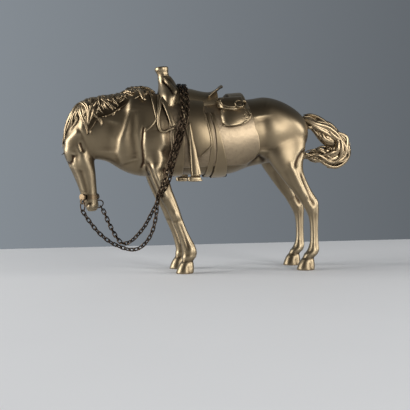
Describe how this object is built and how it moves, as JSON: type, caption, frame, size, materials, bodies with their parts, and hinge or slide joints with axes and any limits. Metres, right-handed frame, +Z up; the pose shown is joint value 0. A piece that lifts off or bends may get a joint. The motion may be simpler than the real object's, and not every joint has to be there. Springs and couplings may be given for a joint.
{
  "type": "saddled horse figurine",
  "caption": "Cast bronze figurine of a saddled range horse with lowered head, coiled tail and loose chain reins hanging from the bit to the saddle.",
  "frame": {"origin": "centre of the bounding box's footprint, on the surface under the hooves", "axes": "+Z up, the horse faces -X along its length, its left side faces -Y"},
  "size_m": [0.2248, 0.0614, 0.1566],
  "materials": {
    "figure_bronze": "satin, brown patina in the hollows",
    "hair_bronze": "darker satin, bright on the ridges",
    "tack_bronze": "satin, dark in the creases",
    "cloth_bronze": "mottled satin, cast weave",
    "bit_bronze": "satin",
    "chain_bronze": "dark patina, worn on the links"
  },
  "bodies": {
    "casting": {"trunk": "figure_bronze", "neck": "figure_bronze", "head": "figure_bronze", "foreleg_left": "figure_bronze", "foreleg_right": "figure_bronze", "hindleg_left": "figure_bronze", "hindleg_right": "figure_bronze", "fore_hoof_left": "figure_bronze", "fore_hoof_right": "figure_bronze", "hind_hoof_left": "figure_bronze", "hind_hoof_right": "figure_bronze", "ear_left": "figure_bronze", "ear_right": "figure_bronze", "eye_left": "figure_bronze", "eye_right": "figure_bronze", "mane": "hair_bronze", "forelock": "hair_bronze", "tail": "hair_bronze", "saddle_fork": "tack_bronze", "saddle_horn": "tack_bronze", "saddle_seat": "tack_bronze", "cantle": "tack_bronze", "skirt_left": "tack_bronze", "skirt_right": "tack_bronze", "fender_left": "tack_bronze", "fender_right": "tack_bronze", "stirrup_left": "tack_bronze", "stirrup_right": "tack_bronze", "saddlebag_left": "tack_bronze", "saddlebag_right": "tack_bronze", "saddlebag_flap_left": "tack_bronze", "saddlebag_flap_right": "tack_bronze", "saddlebag_boss_left": "tack_bronze", "saddlebag_boss_right": "tack_bronze", "saddlebag_yoke": "tack_bronze", "rigging_left": "tack_bronze", "rigging_right": "tack_bronze", "saddle_strings_left": "tack_bronze", "saddle_strings_right": "tack_bronze", "front_cinch": "tack_bronze", "rear_cinch": "tack_bronze", "noseband": "tack_bronze", "saddle_blanket": "cloth_bronze", "saddle_roll_left": "cloth_bronze", "saddle_roll_right": "cloth_bronze", "saddle_ties_left": "cloth_bronze", "saddle_ties_right": "cloth_bronze", "bit_bar": "bit_bronze", "bit_cheek_left": "bit_bronze", "bit_cheek_right": "bit_bronze", "rein_chain_saddle": "chain_bronze"},
    "left_rein": {"rein_chain_left": "chain_bronze"},
    "right_rein": {"rein_chain_right": "chain_bronze"},
    "left_ring": {"rein_ring_left": "chain_bronze"},
    "right_ring": {"rein_ring_right": "chain_bronze"}
  },
  "joints": [
    {"name": "left_rein_swing", "type": "hinge", "parent": "casting", "child": "left_rein", "pos_m": [-0.09933, -0.00159, 0.0546], "axis": [0.9308, -0.3648, 0.0241], "range_deg": [-20, 4]},
    {"name": "right_rein_swing", "type": "hinge", "parent": "casting", "child": "right_rein", "pos_m": [-0.08827, 0.01159, 0.0546], "axis": [0.8241, -0.5659, 0.0264], "range_deg": [-4, 20]},
    {"name": "left_ring_turn", "type": "hinge", "parent": "left_rein", "child": "left_ring", "pos_m": [-0.09933, -0.00159, 0.0546], "axis": [0, 0, -1], "range_deg": [-10, 30]},
    {"name": "right_ring_turn", "type": "hinge", "parent": "right_rein", "child": "right_ring", "pos_m": [-0.08827, 0.01159, 0.0546], "axis": [0.4924, 0.5868, -0.6428], "range_deg": [-15, 30]}
  ]
}
